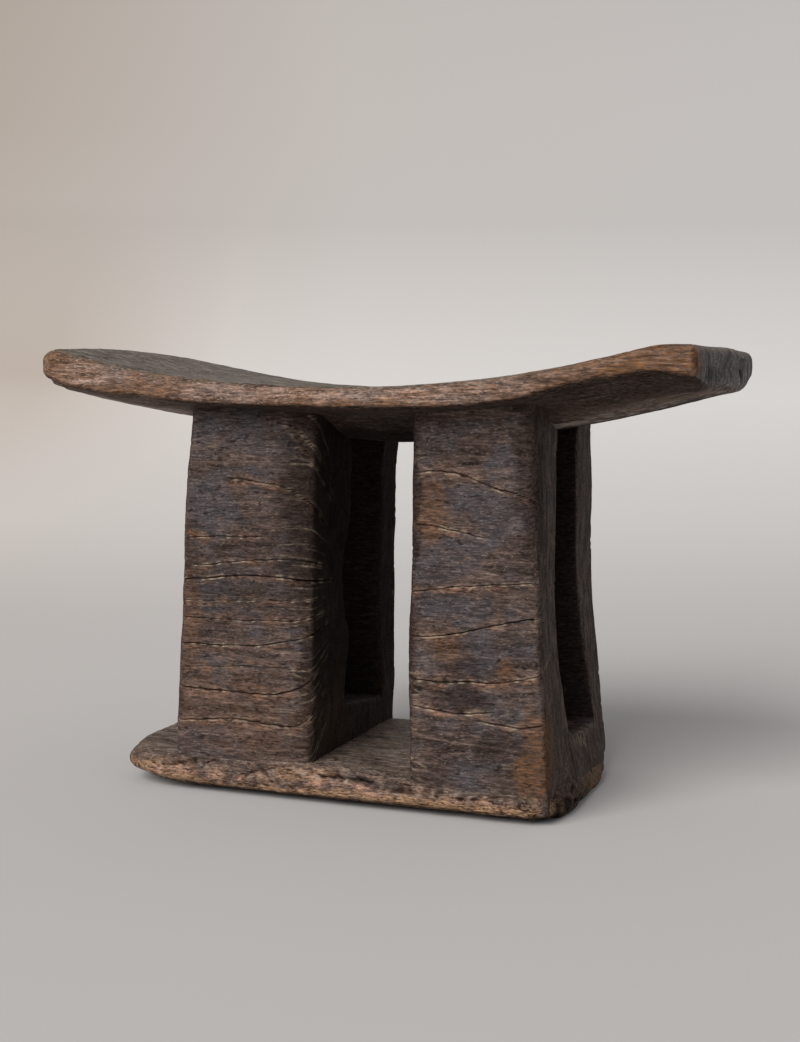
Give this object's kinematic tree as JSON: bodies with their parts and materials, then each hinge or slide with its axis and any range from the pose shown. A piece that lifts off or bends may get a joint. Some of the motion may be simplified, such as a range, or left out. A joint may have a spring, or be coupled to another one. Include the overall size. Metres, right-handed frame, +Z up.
{
  "type": "carved stool",
  "caption": "Low hand-carved wooden stool with a dished seat board on slotted block legs and a flat slab base.",
  "frame": {"origin": "on the floor, under the middle of the seat board, which is the centre of the bounding box seen from above", "axes": "+X along the seat's length, away from the base's projecting tongue; +Y from the front to the back; +Z up"},
  "size_m": [0.465, 0.194, 0.3061],
  "materials": {
    "seat_wood": "hand-worn, satin",
    "leg_wood": "adzed, dark and smoky, dry satin",
    "base_wood": "worn and rubbed along the lower edge"
  },
  "bodies": {
    "root": {"seat": "seat_wood", "front_left_leg": "leg_wood", "back_left_leg": "leg_wood", "left_sill": "leg_wood", "front_right_leg": "leg_wood", "back_right_leg": "leg_wood", "right_sill": "leg_wood", "base": "base_wood"}
  },
  "joints": []
}
